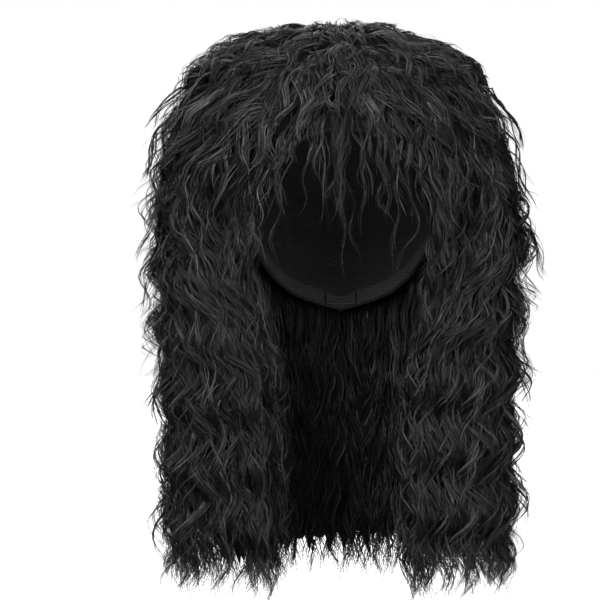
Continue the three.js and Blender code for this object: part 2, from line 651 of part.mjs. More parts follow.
const backLayer = (grow) =>
  fuse([
    layerBacking(LEFT, acrossBack(LAYER_SPLIT), grow),
    ...layerLocks(LEFT, BACK_LAYER_LOCKS, grow), ...layerLocks(RIGHT, BACK_LAYER_LOCKS, grow),
  ]);

const frontLength = (side, grow) =>
  fuse([lengthBacking(side, [0, LENGTH_SPLITS[0]], grow), ...lengthLocks(side, FRONT_LENGTH_LOCKS, grow)]);

const sideLength = (side, grow) =>
  fuse([lengthBacking(side, LENGTH_SPLITS, grow), ...lengthLocks(side, SIDE_LENGTH_LOCKS, grow)]);

const backLength = (grow) =>
  fuse([
    lengthBacking(LEFT, acrossBack(LENGTH_SPLITS[1]), grow),
    ...lengthLocks(LEFT, BACK_LENGTH_LOCKS, grow), ...lengthLocks(RIGHT, BACK_LENGTH_LOCKS, grow),
  ]);

const bothSides = (make, grow) => [make(LEFT, grow), make(RIGHT, grow)];

const HAIR = new THREE.MeshStandardMaterial({ color: 0x17171a, roughness: 0.45, metalness: 0 });
const CLOTH = new THREE.MeshStandardMaterial({ color: 0x121214, roughness: 0.9, metalness: 0 });
const ELASTIC = new THREE.MeshStandardMaterial({ color: 0x1c1c1f, roughness: 0.75, metalness: 0 });

function meshOf(name, solid, material) {
  const { vertProperties, triVerts } = solid.getMesh();
  const geometry = new THREE.BufferGeometry();
  geometry.setAttribute("position", new THREE.BufferAttribute(new Float32Array(vertProperties), 3));
  geometry.setIndex(new THREE.BufferAttribute(new Uint32Array(triVerts), 1));
  const mesh = new THREE.Mesh(geometry, material);
  mesh.name = name;
  return mesh;
}

// Pieces in the order that they lie on the head, each cut back from the ones laid over it.
function buildWig() {
  const crown = crownSolid();
  const overFringe = [crown, ...crownTufts(FIT_GAP)];
  const sideLayers = bothSides(sideLayer, FIT_GAP);
  const tabs = bothSides(earTab, FIT_GAP);
  const overLayers = [...overFringe, ...tabs, fringeSolid(FIT_GAP)];
  const overLengths = [...overLayers, ...sideLayers, backLayer(FIT_GAP)];
  const overSide = (side) => [...overLengths, frontLength(side, FIT_GAP)];
  const wig = new THREE.Group();
  const add = (name, solid, material) => wig.add(meshOf(name, solid, material));
  add("cap", capSolid(), CLOTH);
  add("edge_band", edgeBand(), ELASTIC);
  add("nape_strap", napeStrap(), ELASTIC);
  add("crown_layer", crown, HAIR);
  add("fringe", cutBy(fringeSolid(0), overFringe), HAIR);
  add("back_layer", cutBy(backLayer(0), [...overLayers, ...sideLayers]), HAIR);
  for (const [word, side] of [["left", LEFT], ["right", RIGHT]]) {
    add(`ear_tab_${word}`, earTab(side, 0), CLOTH);
    add(`side_layer_${word}`, cutBy(sideLayer(side, 0), overLayers), HAIR);
    add(`front_length_${word}`, cutBy(frontLength(side, 0), overLengths), HAIR);
    add(`side_length_${word}`, cutBy(sideLength(side, 0), overSide(side)), HAIR);
  }
  add("back_length", cutBy(backLength(0), [...overLengths, ...bothSides(sideLength, FIT_GAP)]), HAIR);
  return wig;
}

export default buildWig();
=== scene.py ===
# A long curly black mullet wig: the CAD cap, band, tabs and strap with woven finishes, and hair
# grown as locks of fine strands where the CAD has its plain hair solids.
import math

import bpy
import numpy as np
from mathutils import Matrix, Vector


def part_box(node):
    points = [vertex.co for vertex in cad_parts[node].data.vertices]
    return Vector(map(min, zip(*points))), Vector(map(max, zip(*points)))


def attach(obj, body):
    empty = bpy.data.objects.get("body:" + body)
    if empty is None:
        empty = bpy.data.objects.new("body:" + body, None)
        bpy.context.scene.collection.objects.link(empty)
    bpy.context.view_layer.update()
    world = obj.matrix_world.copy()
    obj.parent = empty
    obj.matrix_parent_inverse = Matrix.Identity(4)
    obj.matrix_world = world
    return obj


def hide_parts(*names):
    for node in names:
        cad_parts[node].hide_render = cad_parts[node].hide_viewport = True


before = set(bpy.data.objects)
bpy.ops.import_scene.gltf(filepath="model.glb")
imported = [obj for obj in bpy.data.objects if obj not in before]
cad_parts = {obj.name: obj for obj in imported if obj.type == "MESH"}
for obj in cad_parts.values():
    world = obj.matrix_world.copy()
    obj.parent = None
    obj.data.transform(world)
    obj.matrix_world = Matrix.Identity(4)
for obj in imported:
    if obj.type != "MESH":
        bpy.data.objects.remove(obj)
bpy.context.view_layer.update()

# Lengths are millimetres and angles degrees until a mesh is made
MM = 0.001


def corners(node):
    low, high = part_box(node)
    return np.array(low) / MM, np.array(high) / MM


# Driving dimensions, the first ones read from the frame
CAP_LOW, CAP_HIGH = corners("cap")
CAP_WALL = 1.5
HEAD_HALF = CAP_HIGH[0] - CAP_WALL
NAPE_REACH = CAP_HIGH[1] - CAP_WALL
HEAD_DROP = -CAP_LOW[2]
HAIR_DROP = -corners("front_length_left")[0][2]
CROWN_ROOM = 1  # between the highest locks and the top of the CAD's crown
CROWN_LIFT = corners("crown_layer")[1][2] - CROWN_ROOM
BROW_REACH = 90
WIDEST_DROP = 88
NECK_HALF = 52
NECK_REACH = 58
NECK_BLEND = 50
HAIR_HALF = 140
HAIR_FRONT = 112
HAIR_BACK = 142
INNER_GAP = 1  # between the cap and the hair's inner side
CURL_ROOM = 8  # the curls stand out this far from the surface that their locks follow
ROOM_FADE = (240, 330)  # drops between which that room halves; it ends with the hair
HAIR_LEAN = -3  # along x, so the hair hangs a little further out on the wearer's right
OPEN_ANGLE = 60
ROUNDNESS = 2.2
NAPE_TAPER = {"side": 0.2, "back": 0.32}

# Outline of the whole hair, with the columns of the CAD's own table
OUTLINE = {
    "drop": [0, 0.066, 0.16, 0.285, 0.395, 0.475, 0.565, 0.71, 0.87, 1],
    "side": [0.86, 0.95, 0.99, 1, 0.98, 0.97, 0.97, 0.95, 0.93, 0.9],
    "front": [0.84, 0.96, 0.98, 0.9, 0.84, 0.82, 0.8, 0.77, 0.74, 0.7],
    "back": [0.86, 0.95, 0.99, 1, 0.99, 0.97, 0.94, 0.89, 0.84, 0.78],
    "open": [1, 1, 1, 1, 0.82, 0.66, 0.54, 0.48, 0.46, 0.46],
}


def mix(a, b, t):
    return a + (b - a) * t


def smooth(x, low, high):
    t = np.clip((x - low) / (high - low), 0, 1)
    return t * t * (3 - 2 * t)


def unit(vectors):
    return vectors / np.maximum(np.linalg.norm(vectors, axis=-1, keepdims=True), 1e-9)


def dome(share):
    return (1 - (1 - np.clip(share, 0, 1)) ** ROUNDNESS) ** (1 / ROUNDNESS)


# Surfaces that the hair grows over. Each takes arrays and gives points and outward normals.
# Angles are from the front.
def oval(side, front, back, angle, z):
    """Level rings with those reaches."""
    forward = np.cos(np.radians(angle))
    depth = np.where(forward > 0, front, back)
    x = side * np.sin(np.radians(angle))
    y = -depth * forward
    z = np.broadcast_to(z, x.shape)
    normal = np.stack([x / side**2, y / depth**2, np.zeros_like(x)], -1)
    return np.stack([x, y, z], -1), unit(normal)


def head(angle, drop, off):
    """Where the inside of the wig lies on its wearer, moved out by off."""
    swell = np.maximum(dome(drop / WIDEST_DROP), 0.05)
    below = np.clip((drop - WIDEST_DROP) / (HEAD_DROP - WIDEST_DROP), 0, 1) ** 2
    neck = smooth(drop, HEAD_DROP, HEAD_DROP + NECK_BLEND)
    side = mix(HEAD_HALF * swell * (1 - NAPE_TAPER["side"] * below), NECK_HALF, neck)
    back = mix(NAPE_REACH * swell * (1 - NAPE_TAPER["back"] * below), NECK_REACH, neck)
    front = mix(BROW_REACH * swell, NECK_REACH, smooth(drop, WIDEST_DROP, HEAD_DROP))
    return oval(side + off, front + off, back + off, angle, -drop)


def outline_row(drop, column):
    return np.interp(drop / HAIR_DROP, OUTLINE["drop"], OUTLINE[column])


def outline(angle, drop):
    """The surface that the outer locks follow."""
    fade = smooth(drop, *ROOM_FADE), smooth(drop, ROOM_FADE[1], HAIR_DROP)
    room = CURL_ROOM * (1 - 0.5 * fade[0] - 0.5 * fade[1])
    side = HAIR_HALF * outline_row(drop, "side") - room
    front = HAIR_FRONT * outline_row(drop, "front") - room
    back = HAIR_BACK * outline_row(drop, "back") - room
    return oval(side, front, back, angle, -drop)


WAVE_PITCH = 46  # of the broad waves in which the whole hair swells and narrows
WAVE_OUT = 4
LEFT_FLAT = 5  # the crown is this much flatter on the wearer's left


def in_waves(points, normal, turn, run, depth):
    """Moves points out and in. turn is the angle from the front, negative on the wearer's right."""
    # The waves start higher or lower from side to side, and from the front to the back
    start = 0.53 + 0.17 * np.tanh(turn / 20)
    start = start + 0.25 * np.sin(2 * math.pi * (np.abs(turn) - 85) / 150)
    wave = np.sin(2 * math.pi * (run / WAVE_PITCH + start))
    share = np.clip(depth, 0, 1)
    flat = smooth(turn, 20, 60) * (1 - smooth(turn, 120, 160)) * (1 - smooth(run, 50, 110))
    far = (WAVE_OUT * wave * smooth(run, 60, 140) - LEFT_FLAT * flat) * share
    lean = (HAIR_LEAN * share)[..., None] * [1, 0, 0]
    return points + normal * far[..., None] + lean


def hanging(side):
    """Hair beside and behind the face: around is 0 at the face opening and 1 at mid back."""

    def place(around, drop, depth):
        over = around > 1
        near = np.where(over, 2 - around, around)
        open_angle = OPEN_ANGLE * outline_row(drop, "open")
        inner, _ = head(mix(OPEN_ANGLE, 180, near), drop, CAP_WALL + INNER_GAP)
        outer, normal = outline(mix(open_angle, 180, near), drop)
        points = mix(inner, outer, depth[..., None])
        flip = np.where(over, -side, side)
        points[..., 0] *= flip
        normal[..., 0] *= flip
        return in_waves(points, normal, mix(open_angle, 180, near) * flip, drop, depth), normal

    return place


WALL_DEPTH = 0.15  # of the hair behind its front face, as a share of the way to mid back


def front_wall(side):
    """The front face of the hanging hair: around is 0 at the head and 1 at the outside."""
    place = hanging(side)

    def wall(around, drop, depth):
        points, out = place(WALL_DEPTH * (1 - depth), drop, around)
        normal = np.stack([side * out[..., 1], -side * out[..., 0], out[..., 2]], -1)
        return points, normal

    return wall


DOME_RUN = 150  # from the top of the crown down to the level of the head's top
INNER_FALL = 40  # how far the crown's inner side falls from its middle to its edge
INNER_RISE = 20  # how far up that fall would start; it is cut off flat at the head's top
CROWN_GAP = 4  # between the head and the crown's inner side
UPWARD = 1.3  # how far hair at the top stands up, against how far it stands out


def crown(angle, run, depth):
    """The teased crown: run is the way down it from its top."""
    tilt = np.clip(run / DOME_RUN, 0, 1) * math.pi / 2
    drop = np.maximum(run - DOME_RUN, 0)
    flat = np.maximum(np.sin(tilt), 1e-3) ** (2 / ROUNDNESS)
    lift = CROWN_LIFT * np.maximum(np.cos(tilt), 0) ** (2 / ROUNDNESS)
    outer, normal = outline(angle, drop)
    outer[..., :2] *= flat[..., None]
    outer[..., 2] += lift
    inner, _ = head(angle, np.maximum(drop + INNER_FALL * flat - INNER_RISE, 2), CROWN_GAP)
    inner[..., :2] *= np.minimum(flat, 1)[..., None]
    normal[..., :2] *= flat[..., None]
    normal[..., 2] += np.cos(tilt) * UPWARD
    normal = unit(normal)
    return in_waves(mix(inner, outer, depth[..., None]), normal, angle, drop, depth), normal


# Strands. A look has the number of strands in a lock, their width and the length of a step,
# and these where it doesn't say otherwise
PLAIN = {
    "loose": 0.02,  # how far strands wave out of step, in turns
    "shortest": 0.86,  # share of the lock's length
    "frizz": 0.07,  # share of strands that stray
    "tip_spread": 0.35,  # width of the lock's tip, as a share of its middle
    "taper": 4,  # the higher, the nearer to the tip the lock narrows
    # tone of a look's strands; looks whose locks lie deeper are painted darker, as shade
    "tone": 0.48,
}
RISE = 0.25  # share of a lock in which it comes out to its own depth
SECTION_TURN = 0.9  # how far strands at a lock's edge face sideways, in radians
SWAY_PITCH = 135  # of a slow wave from side to side
ROLL = 8  # how far strands twist
LOCK_TONES = 0.18  # how far the tones of locks differ, and then those of their strands
STRAND_TONES = 0.13
PAINTED_HIGHLIGHT_SHARE = 0.07  # of strands, which are painted paler as highlights, by the tone below
PAINTED_HIGHLIGHT_TONE = 0.34


def grow(rng, place, locks, look):
    """Grows each lock's strands. locks holds an array for each property, one value a lock."""
    look = {**PLAIN, **look}
    loose = look["loose"]
    count = len(locks["around"])
    strands = look["strands"]
    length = float(np.max(locks["tip"] - locks["root"]))
    steps = max(6, int(length / look["step"]))
    t = np.linspace(0, 1, steps)[None, None, :]

    def lock(key):
        return np.asarray(locks[key], float)[:, None, None]

    def each(low, high):
        return rng.uniform(low, high, (count, strands, 1))

    def bell(spread):
        return rng.normal(0, spread, (count, strands, 1))

    at = t * each(look["shortest"], 1.0)
    run = mix(lock("root"), lock("tip"), at)
    bow = lock("bow") if "bow" in locks else 0
    around = mix(lock("around"), lock("tip_around"), at) + bow * np.sin(math.pi * at)
    free = mix(lock("depth"), lock("tip_depth"), at)
    depth = mix(lock("root_depth"), free, smooth(at, 0, RISE))
    points, normal = place(around, run, depth)
    down = unit(np.gradient(points, axis=2))
    across = unit(np.cross(down, normal))

    # Each strand has a place in the lock's flat oval section. A few stray from it.
    stray = rng.random((count, strands, 1)) < look["frizz"]
    over = each(-1, 1)
    out = (1 - over**2) * 0.5 + bell(0.2)
    start = smooth(at, 0.02, 0.3)
    turns = lock("phase") + 0.04 * over + bell(loose + 0.1 * stray)
    turns = turns - run / (lock("pitch") * (1 + bell(0.3 * loose)))
    curl = lock("curl") * start * (1 + bell(0.1 + 0.3 * stray))
    sway = lock("sway") * start * np.sin(2 * math.pi * (lock("sway_phase") + run / SWAY_PITCH))
    gather = mix(0.5, 1, smooth(at, 0, RISE)) * mix(1, look["tip_spread"], at ** look["taper"])
    radius = lock("radius") * gather * (1 + 0.9 * stray)
    sideways = over * radius + curl * np.sin(2 * math.pi * turns) + sway
    outward = out * radius * 0.7 + lock("coil") * curl * np.cos(2 * math.pi * turns)
    drift = bell(0.6 + 12 * loose) + 2.5 * stray * bell(1)
    wander = drift * np.sin(2 * math.pi * (each(0, 1) + run / each(50, 110))) * at
    flick = lock("flick") * at**3
    points = points + across * (sideways + wander)[..., None]
    points = points + normal * (outward + flick)[..., None]

    # The lock's own roundness: strands at its edges face sideways
    lean = over * SECTION_TURN + np.zeros_like(at)
    facing = normal * np.cos(lean)[..., None] + across * np.sin(lean)[..., None]
    width = look["width"] * each(0.6, 1.3) * mix(0.3, 1, smooth(at, 0, 0.15)) * (1 - 0.8 * t**9)
    roll = np.radians(bell(ROLL) + ROLL * np.sin(2 * math.pi * (each(0, 1) + run / 70)))
    # A few strands are painted paler, as highlights
    painted_highlight = PAINTED_HIGHLIGHT_TONE * (rng.random((count, strands)) < PAINTED_HIGHLIGHT_SHARE)
    tone = look["tone"] + rng.normal(0, LOCK_TONES, (count, 1))
    tone = tone + rng.normal(0, STRAND_TONES, (count, strands)) + painted_highlight
    tone = np.clip(tone, 0, 1)
    shape = (count * strands, steps)
    return {
        "points": points.reshape(*shape, 3),
        "facing": facing.reshape(*shape, 3),
        "width": np.broadcast_to(width, points.shape[:3]).reshape(shape),
        "roll": np.broadcast_to(roll, points.shape[:3]).reshape(shape),
        "tone": tone.reshape(-1),
    }


CORE_SPAN = 6.0  # between a body's columns and rows, about
CORE_ROUND = 260  # from the face opening to mid back, about
CORE_GRID = (144, 48)  # columns and rows of a body that goes all round the head
CORE_STREAK = 8.0  # width over which a body's streaks run like one strand's
CORE_TONE = 0.45
CORE_LOCK = 17  # width of the pointed locks in which a body ends
CORE_POINT = 0.07  # their length, as a share of the body's, and how far it varies
CORE_RAGGED = 0.03
CORE_WAVE = 0.035  # how far a body's sides wave, as a share of the hair's depth


def grid_quads(rows, columns):
    first = np.arange(rows * columns).reshape(rows, columns)
    quads = np.stack([first[:-1, :-1], first[:-1, 1:], first[1:, 1:], first[1:, :-1]], -1)
    return quads.reshape(-1, 4)


def core(rng, place, around, top, bottom, depths, closed=False):
    """Dense body of a layer under its strands: a wavy wall round a section, closed at its foot."""
    wide, rows = CORE_GRID
    if not closed:
        wide = max(8, int((around[1] - around[0]) * CORE_ROUND / CORE_SPAN))
        rows = max(8, int((bottom - top) / CORE_SPAN))
    share = np.linspace(0, 1, wide)
    if closed:
        loop = mix(around[0], around[1], share)
        deep = np.full(wide, depths[1])
    else:
        side = np.linspace(0, 1, 6)[1:-1]
        loop = [share, np.ones_like(side), 1 - share, np.zeros_like(side), [0]]
        loop = mix(around[0], around[1], np.concatenate(loop))
        low, high = depths
        inner, outer = np.full(wide, low), np.full(wide, high)
        deep = np.concatenate([outer, mix(high, low, side), inner, mix(low, high, side), [high]])
    fall = np.linspace(0, 1, rows)[:, None]
    column = np.arange(len(loop)) * CORE_SPAN
    point = np.abs(np.sin(math.pi * (column / CORE_LOCK + 0.15 * np.sin(column / 23))))
    teeth = 1 - (CORE_POINT * point + CORE_RAGGED * rng.random(len(loop))) * fall**3
    run = top + (bottom - top) * fall * teeth
    middle = (depths[0] + depths[1]) / 2
    waves = loop * (0.1 if closed else 22) + 0.35 * np.sin(2 * math.pi * run / 40)
    wave = np.sin(2 * math.pi * waves)
    depth = mix(deep[None, :] + CORE_WAVE * wave, middle, smooth(fall, 0.8, 1))
    points, normal = place(np.broadcast_to(loop[None, :], run.shape), run, depth)
    quads = grid_quads(*run.shape)

    # The inner side faces the head, and every face turns the way that its normals point
    flip = np.where(deep < middle, -1, 1)[None, :, None]
    points = points.reshape(-1, 3)
    normal = (normal * flip).reshape(-1, 3)
    corner = points[quads[:, 0]]
    turned = np.cross(points[quads[:, 1]] - corner, points[quads[:, 3]] - corner)
    wrong = np.sum(turned * normal[quads].sum(axis=1), axis=1) < 0
    quads[wrong] = quads[wrong][:, ::-1]
    wavy = column + 4.5 * np.sin(2 * math.pi * (run / 42 + 0.6 * np.sin(column / 17)))
    return {
        "points": points,
        "normals": normal,
        "quads": quads,
        "along": np.broadcast_to(fall, run.shape).reshape(-1),
        "over": (wavy / CORE_STREAK).reshape(-1),
        "tone": np.full(len(points), CORE_TONE),
        "strand": np.zeros(len(points), int),
    }


def ribbon_arrays(group):
    """Flat ribbons with normals that round them, as arrays for one mesh."""
    points = group["points"]
    roll = group["roll"][..., None]
    width = group["width"][..., None]
    down = unit(np.gradient(points, axis=1))
    across = unit(np.cross(down, group["facing"]))
    up = np.cross(across, down)
    side = across * np.cos(roll) + up * np.sin(roll)
    out = up * np.cos(roll) - across * np.sin(roll)
    edges = np.stack([points - side * width / 2, points + side * width / 2], 2)
    normals = np.stack([unit(out - side * 0.5), unit(out + side * 0.5)], 2)
    strands, steps = group["width"].shape
    first = np.arange(strands * steps * 2).reshape(strands, steps, 2)
    quads = np.stack([first[:, :-1, 0], first[:, :-1, 1], first[:, 1:, 1], first[:, 1:, 0]], -1)

    def spread(values):
        return np.broadcast_to(values, edges.shape[:3]).reshape(-1)

    return {
        "points": edges.reshape(-1, 3),
        "normals": normals.reshape(-1, 3),
        "quads": quads.reshape(-1, 4),
        "along": spread(np.linspace(0, 1, steps)[None, :, None]),
        "over": spread(np.array([0.0, 1.0])[None, None, :]),
        "tone": spread(group["tone"][:, None, None]),
        "strand": spread(np.arange(strands)[:, None, None]),
    }


def hair_piece(name, groups, nodes, cores=()):
    """One mesh of all the strands and bodies, which replaces the CAD's solids of those nodes."""
    parts = [ribbon_arrays(group) for group in groups] + list(cores)
    starts = np.cumsum([0] + [len(part["points"]) for part in parts])
    strand_starts = np.cumsum([0] + [len(group["tone"]) for group in groups] + [1] * len(cores))

    def joined(key, offsets=None):
        offsets = [0] * len(parts) if offsets is None else offsets
        return np.concatenate([part[key] + offset for part, offset in zip(parts, offsets)])

    points = joined("points") * MM
    normals = joined("normals")
    quads = joined("quads", starts)
    along = joined("along")
    over = joined("over")
    strand = joined("strand", strand_starts)

    mesh = bpy.data.meshes.new(name)
    mesh.vertices.add(len(points))
    mesh.vertices.foreach_set("co", points.astype(np.float32).ravel())
    mesh.loops.add(quads.size)
    mesh.loops.foreach_set("vertex_index", quads.astype(np.int32).ravel())
    mesh.polygons.add(len(quads))
    mesh.polygons.foreach_set("loop_start", np.arange(0, quads.size, 4, dtype=np.int32))
    mesh.polygons.foreach_set("loop_total", np.full(len(quads), 4, dtype=np.int32))
    mesh.update(calc_edges=True)
    mesh.polygons.foreach_set("use_smooth", np.ones(len(quads), dtype=bool))
    for key, values in (("tone", joined("tone")), ("along", along), ("over", over)):
        layer = mesh.attributes.new(key, "FLOAT", "POINT")
        layer.data.foreach_set("value", values.astype(np.float32))
    corner = quads.ravel()
    u = (strand[corner] + 0.1 + 0.8 * over[corner]) / strand_starts[-1]
    layer = mesh.uv_layers.new(name="OFBake")
    layer.data.foreach_set("uv", np.stack([u, along[corner]], -1).astype(np.float32).ravel())
    mesh.normals_split_custom_set_from_vertices(normals.astype(np.float32))
    piece = bpy.data.objects.new(name, mesh)
    bpy.context.scene.collection.objects.link(piece)
    mesh.materials.append(FIBRE)
    mesh.materials.append(DEEP_FIBRE)
    body_quads = sum(len(part["quads"]) for part in cores)
    deep = np.arange(len(quads)) >= len(quads) - body_quads
    mesh.polygons.foreach_set("material_index", deep.astype(np.int32))
    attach(piece, "root")
    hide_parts(*nodes)


# Materials, whose depths are metres
GRAIN_SCALE = (6.0, 14.0, 90.0)  # across a strand, along it and from one tone to the next
THREAD_DEPTH = 0.0006


def new_material(name, **values):
    material = bpy.data.materials.new(name)
    material.use_nodes = True
    shader = material.node_tree.nodes["Principled BSDF"]
    for key, value in values.items():
        shader.inputs[key.replace("_", " ")].default_value = value
    return material, material.node_tree, shader


def add_node(tree, kind, links=(), **settings):
    node = tree.nodes.new(kind)
    for key, value in settings.items():
        if hasattr(node, key):
            setattr(node, key, value)
        else:
            node.inputs[key.replace("_", " ")].default_value = value
    for socket, source in links:
        tree.links.new(source, node.inputs[socket])
    return node


def hair_material(name, shine, rough, grain_depth):
    material, tree, shader = new_material(
        name, Anisotropic=0.6, Anisotropic_Rotation=0.25, Specular_IOR_Level=shine
    )
    tone = add_node(tree, "ShaderNodeAttribute", attribute_name="tone")
    over = add_node(tree, "ShaderNodeAttribute", attribute_name="over")
    along = add_node(tree, "ShaderNodeAttribute", attribute_name="along")
    spot = add_node(
        tree, "ShaderNodeCombineXYZ",
        [("X", over.outputs["Fac"]), ("Y", along.outputs["Fac"]), ("Z", tone.outputs["Fac"])],
    )
    scale = add_node(
        tree, "ShaderNodeVectorMath", [(0, spot.outputs[0])], operation="MULTIPLY"
    )
    scale.inputs[1].default_value = GRAIN_SCALE
    grain = add_node(
        tree, "ShaderNodeTexNoise", [("Vector", scale.outputs[0])], Scale=1.0, Detail=3.0
    )
    shade = add_node(
        tree, "ShaderNodeMath", [(0, tone.outputs["Fac"]), (1, grain.outputs["Fac"])],
        operation="MULTIPLY",
    )
    ramp = add_node(tree, "ShaderNodeValToRGB", [("Fac", shade.outputs[0])])
    ramp.color_ramp.elements[0].position = 0.06
    ramp.color_ramp.elements[0].color = (0.003, 0.003, 0.0033, 1)
    # The pale grey stop is a painted highlight, reached mostly by the strands painted paler
    ramp.color_ramp.elements[1].position = 0.52
    ramp.color_ramp.elements[1].color = (0.1, 0.095, 0.094, 1)
    ramp.color_ramp.elements.new(0.36).color = (0.0105, 0.01, 0.01, 1)
    tree.links.new(ramp.outputs["Color"], shader.inputs["Base Color"])
    spread = add_node(
        tree, "ShaderNodeMapRange", [("Value", grain.outputs["Fac"])],
        To_Min=rough[0], To_Max=rough[1],
    )
    tree.links.new(spread.outputs["Result"], shader.inputs["Roughness"])
    bump = add_node(
        tree, "ShaderNodeBump", [("Height", grain.outputs["Fac"])],
        Strength=0.5, Distance=grain_depth,
    )
    tree.links.new(bump.outputs["Normal"], shader.inputs["Normal"])
    tangent = add_node(tree, "ShaderNodeTangent", direction_type="UV_MAP", uv_map="OFBake")
    tree.links.new(tangent.outputs[0], shader.inputs["Tangent"])
    return material


def woven_material(name, dark, pale, threads):
    material, tree, shader = new_material(name, Roughness=0.9, Specular_IOR_Level=0.25)
    place = add_node(tree, "ShaderNodeTexCoord")
    waves = [
        add_node(
            tree, "ShaderNodeTexWave", [("Vector", place.outputs["Object"])],
            bands_direction=axis, Scale=threads, Distortion=0.4, Detail=1.0,
        )
        for axis in ("X", "Y", "Z")
    ]
    pair = add_node(
        tree, "ShaderNodeMath", [(0, waves[0].outputs["Fac"]), (1, waves[1].outputs["Fac"])],
        operation="MAXIMUM",
    )
    weave = add_node(
        tree, "ShaderNodeMath", [(0, pair.outputs[0]), (1, waves[2].outputs["Fac"])],
        operation="MULTIPLY",
    )
    ramp = add_node(tree, "ShaderNodeValToRGB", [("Fac", weave.outputs[0])])
    ramp.color_ramp.elements[0].color = (*dark, 1)
    ramp.color_ramp.elements[1].color = (*pale, 1)
    tree.links.new(ramp.outputs["Color"], shader.inputs["Base Color"])
    bump = add_node(
        tree, "ShaderNodeBump", [("Height", weave.outputs[0])], Strength=0.6, Distance=THREAD_DEPTH
    )
    tree.links.new(bump.outputs["Normal"], shader.inputs["Normal"])
    return material


# The bodies under the strands are duller and have the deeper grain
FIBRE = hair_material("black_fibre", 0.47, (0.2, 0.54), 0.0006)
DEEP_FIBRE = hair_material("deep_black_fibre", 0.15, (0.55, 0.85), 0.004)
CAP_CLOTH = woven_material("cap_net", (0.01, 0.01, 0.011), (0.05, 0.05, 0.054), 260)
ELASTIC = woven_material("ribbed_elastic", (0.02, 0.02, 0.022), (0.07, 0.07, 0.074), 190)


# Looks of the strands. Their tones hold a painted shade: darker for the looks of locks that lie
# deeper, paler for those that lie outermost
BODY = {"strands": 10, "width": 0.88, "step": 7.5, "loose": 0.05, "frizz": 0.1, "tone": 0.36}
FULL = {"strands": 17, "width": 0.6, "step": 6.0}
SLIM = {"strands": 5, "width": 0.62, "step": 5.5, "tip_spread": 0.25, "tone": 0.56}
WISP = {"strands": 1, "width": 0.42, "step": 5.5, "frizz": 0.3, "tone": 0.72}
VEIL = {"strands": 14, "width": 0.34, "step": 6.0, "frizz": 0.1, "tip_spread": 0.9}
TIGHT = {**SLIM, "loose": 0.01}

# Radii of locks
THIN = (1.2, 2.6)
PLUMP = (3, 5)
WIDE = (6, 10)  # of the loose locks under the others


def even(rng, count, low, high):
    """Places spread evenly with a little jitter, in a shuffled order."""
    spots = (np.arange(count) + rng.uniform(0.1, 0.9, count)) / count
    rng.shuffle(spots)
    return mix(low, high, spots)


def curls(rng, bands, curl, pitch, flick, radius):
    """Properties of the curls. Locks that are close together, in bands, wave almost in step."""
    count = len(bands)
    start = rng.uniform(0, 1, 4)

    def swing(number, rate):
        return np.sin(2 * math.pi * (rate * bands + start[number]))

    return {
        "curl": rng.uniform(*curl, count),
        "pitch": pitch * (1 + 0.1 * swing(0, 0.6) + rng.normal(0, 0.05, count)),
        "phase": 0.3 * swing(1, 1) + 0.18 * swing(2, 2.3) + rng.normal(0, 0.12, count),
        "sway": rng.uniform(1, 5, count),
        "sway_phase": rng.uniform(0, 1, count),
        "flick": rng.uniform(*flick, count),
        "radius": rng.uniform(*radius, count),
        "coil": np.sign(swing(3, 0.5) + rng.normal(0, 0.6, count)) * rng.uniform(0.5, 1.1, count),
    }


CRIMP = 48  # length of a full wave in the long hair
BANDS = 6.5  # bands of hair that wave together, from the face opening to mid back
WALL_BANDS = 1.4  # and across the front face
DRIFT = 0.02  # how far a lock's tip strays round the head, as a share of the way to mid back


def hanging_locks(rng, count, around, root, tip, depth, curl=(2.8, 5.6), pitch=CRIMP,
                  flick=(-2, 4), radius=PLUMP, root_depth=0.5, tip_depth=None, bands=BANDS):
    """Locks of the hanging hair, from ranges of where they start, end and lie."""
    spots = even(rng, count, *around)
    return {
        "around": spots,
        "tip_around": np.clip(spots + rng.normal(0, DRIFT, count), around[0], around[1]),
        "root": rng.uniform(*root, count),
        "tip": rng.uniform(*tip, count),
        "root_depth": np.full(count, root_depth),
        "depth": rng.uniform(*depth, count),
        "tip_depth": rng.uniform(*(tip_depth or depth), count),
        **curls(rng, spots * bands, curl, pitch, flick, radius),
    }


def body_of(rng, place, around, top, bottom, depths):
    """The body of a hanging layer, set in a little from the layer's two edges."""
    return core(rng, place, (around[0] + 0.015, around[1] - 0.01), top, bottom, depths)


EDGE = (0.02, 0.98)  # across the front face
LOCKS_END = 0.94  # the long locks end between this share of the hair's drop and all of it
BODY_END = 0.945  # and their bodies at this share
LENGTHS = [
    # name, node, side, around, full locks in its outer layer, locks of its inner side
    ("front_length_hair_left", "front_length_left", 1, (0.0, 0.31), 22, 8),
    ("front_length_hair_right", "front_length_right", -1, (0.0, 0.31), 22, 8),
    ("side_length_hair_left", "side_length_left", 1, (0.3, 0.71), 20, 12),
    ("side_length_hair_right", "side_length_right", -1, (0.3, 0.71), 20, 12),
    ("back_length_hair", "back_length", 1, (0.69, 1.31), 27, 24),
]


